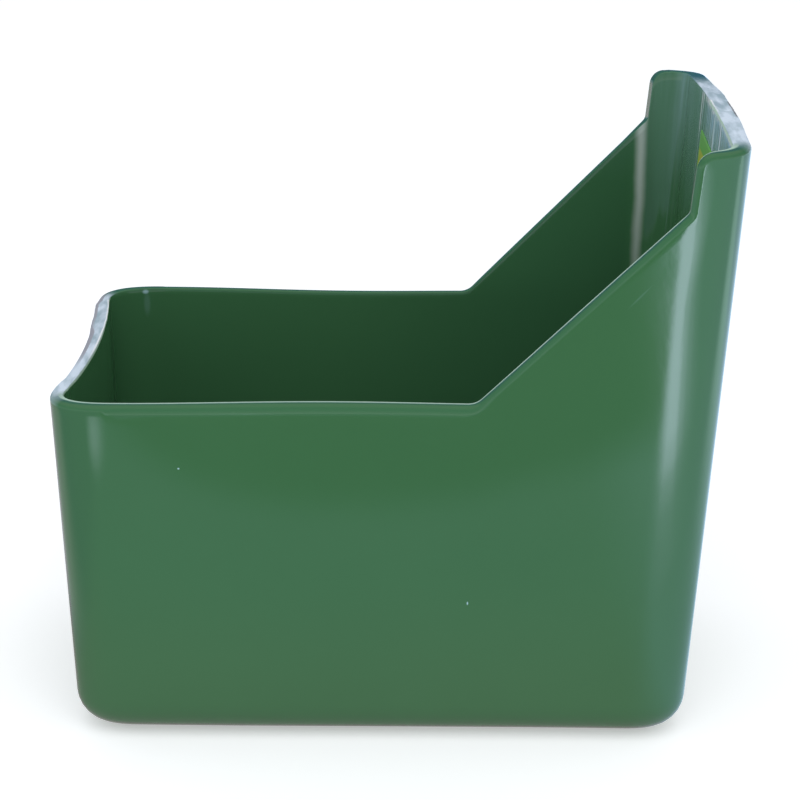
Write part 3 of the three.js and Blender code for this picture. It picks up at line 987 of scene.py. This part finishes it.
class TROUGH_OT_stage(bpy.types.Operator):
    """Sets up the camera, the floor and the studio light"""
    bl_idname = "trough.build_stage"
    bl_label = "Build the studio"

    def execute(self, context):
        stage = context.scene.trough_stage
        camera = bpy.data.cameras.new("camera")
        camera.sensor_width = 36
        camera.lens = stage.lens
        camera.clip_start = 0.05
        holder = bpy.data.objects.new("camera", camera)
        holder.matrix_world = (
            Matrix.Translation(stage.camera) @ Matrix.Rotation(-stage.yaw, 4, "Z")
            @ Matrix.Rotation(math.pi / 2 - stage.pitch, 4, "X") @ Matrix.Rotation(stage.roll, 4, "Z"))
        context.scene.collection.objects.link(holder)
        context.scene.camera = holder

        bm = bmesh.new()
        bmesh.ops.create_grid(bm, x_segments=1, y_segments=1, size=FLOOR_HALF_WIDTH)
        mesh = bpy.data.meshes.new("floor")
        bm.to_mesh(mesh)
        bm.free()
        mesh.transform(Matrix.Translation((0, 0, -FLOOR_GAP)))
        mesh.materials.append(studio_floor(stage))
        floor = bpy.data.objects.new("floor", mesh)
        context.scene.collection.objects.link(floor)

        context.scene.world = studio_world(stage)
        add_lamp(KEY_LAMP)
        add_lamp(FRONT_LAMP)
        context.scene.view_settings.view_transform = "Standard"
        return {"FINISHED"}


class TROUGH_OT_shell(bpy.types.Operator):
    """Grows the moulded shell with its trimmed rim"""
    bl_idname = "trough.build_shell"
    bl_label = "Build the shell"

    def execute(self, context):
        size = context.scene.trough_sizes
        outer, inner = skins(size)
        outer_foot = fillet_rings(size, outer, outer_edge(size))
        outer_rim = edge_rings(size, outer, outer_edge(size), ROUNDING_STEPS)
        inner_rim = edge_rings(size, inner, inner_edge(size), CRISP_STEPS)
        inner_foot = fillet_rings(size, inner, inner_edge(size))
        rings = outer_foot + wall_rings(outer_foot[-1], outer_rim[0]) + outer_rim
        cut_rows = range(len(rings) - ROUNDING_STEPS, len(rings) + CRISP_STEPS)
        first_inner_row = len(rings)
        outer_rows = range(first_inner_row - len(outer_rim), first_inner_row)
        inner_rows = range(first_inner_row, first_inner_row + len(inner_rim))
        rings += inner_rim[::-1]
        rings += wall_rings(inner_foot[-1], inner_rim[0])[::-1] + inner_foot[::-1]

        bm = bmesh.new()
        first_edges, last_edges = grow(bm, rings)
        bmesh.ops.contextual_create(bm, geom=first_edges)
        bmesh.ops.contextual_create(bm, geom=last_edges)
        bmesh.ops.recalc_face_normals(bm, faces=bm.faces)
        row = bm.verts.layers.int["row"]
        column = bm.verts.layers.int["column"]
        trim, inside, outer_line, inner_line = [
            bm.verts.layers.float.new(name) for name in ("trim", "inside", "outer_line", "inner_line")]
        cut_shares = around(size, whiteness)
        edge_highlight_shares = around(size, inner_edge_highlight)
        for vert in bm.verts:
            vert[trim] = cut_shares[vert[column]] if vert[row] in cut_rows else 0
            vert[inside] = 1 if vert[row] > first_inner_row else 0
            vert[outer_line] = 1 if vert[row] in outer_rows else 0
            vert[inner_line] = edge_highlight_shares[vert[column]] if vert[row] in inner_rows else 0
        low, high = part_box("trough_shell")
        for vert in bm.verts:
            vert.co = [min(max(place, least), most) for place, least, most in zip(vert.co, low, high)]
        finish_piece(bm, "moulded_shell", moulded_polyethylene(context.scene.trough_finish),
                     "trough_shell")
        return {"FINISHED"}


class TROUGH_OT_label(bpy.types.Operator):
    """Sticks the label on the inside of the back wall"""
    bl_idname = "trough.build_label"
    bl_label = "Build the label"

    def execute(self, context):
        size = context.scene.trough_sizes
        bm = bmesh.new()
        bmesh.ops.create_grid(bm, x_segments=1, y_segments=1, size=0.5)
        bmesh.ops.scale(bm, vec=(size.label_width, size.label_height, 1), verts=bm.verts)
        bmesh.ops.bevel(bm, geom=bm.verts, offset=size.label_corner, segments=6, profile=0.5,
                        affect="VERTICES", material=-1)
        uv_layer = bm.loops.layers.uv.new("label")
        for face in bm.faces:
            for loop in face.loops:
                across, up, _ = loop.vert.co
                loop[uv_layer].uv = (across / size.label_width + 0.5, up / size.label_height + 0.5)
        sides = bmesh.ops.extrude_face_region(bm, geom=bm.faces[:])
        lifted = [part for part in sides["geom"] if isinstance(part, bmesh.types.BMVert)]
        bmesh.ops.translate(bm, vec=(0, 0, size.label_thickness), verts=lifted)
        bmesh.ops.recalc_face_normals(bm, faces=bm.faces)

        height = size.ear_height - size.label_drop
        wall_x = plan_at(size, skins(size)[1], size.near_corner, height).back
        across_wall = Vector((0, -1, 0))
        up_wall = Vector((math.tan(size.back_draft), 0, 1)).normalized()
        out_of_wall = across_wall.cross(up_wall)
        turned = Matrix((across_wall, up_wall, out_of_wall)).transposed().to_4x4()
        place = Matrix.Translation((wall_x, -size.label_offset, height)) @ turned
        place = place @ Matrix.Rotation(-size.label_turn, 4, "Z") @ Matrix.Translation((0, 0, GLUE))
        bmesh.ops.transform(bm, matrix=place, verts=bm.verts)
        piece = finish_piece(bm, "film_label", printed_film(context.scene.trough_finish),
                             "label")
        piece.data.shade_flat()
        return {"FINISHED"}


class TROUGH_PT_sidebar(bpy.types.Panel):
    """Lists the trough's sizes, finish and builders"""
    bl_idname = "TROUGH_PT_sidebar"
    bl_label = "Feed trough"
    bl_space_type = "VIEW_3D"
    bl_region_type = "UI"
    bl_category = "Trough"

    def draw(self, context):
        for operator in OPERATORS:
            self.layout.operator(operator.bl_idname)
        for group_name in GROUPS:
            box = self.layout.box()
            group = getattr(context.scene, group_name)
            for name in group.__annotations__:
                box.prop(group, name)


GROUPS = {"trough_sizes": TroughSizes, "trough_finish": TroughFinish, "trough_stage": TroughStage}
OPERATORS = (TROUGH_OT_stage, TROUGH_OT_shell, TROUGH_OT_label)
CLASSES = (*GROUPS.values(), *OPERATORS, TROUGH_PT_sidebar)


def register():
    for cls in CLASSES:
        bpy.utils.register_class(cls)
    for name, group in GROUPS.items():
        setattr(bpy.types.Scene, name, bpy.props.PointerProperty(type=group))


def unregister():
    for name in GROUPS:
        delattr(bpy.types.Scene, name)
    for cls in reversed(CLASSES):
        bpy.utils.unregister_class(cls)


def main():
    register()
    bpy.ops.trough.build_stage()
    bpy.ops.trough.build_shell()
    bpy.ops.trough.build_label()


if __name__ == "__main__":
    main()
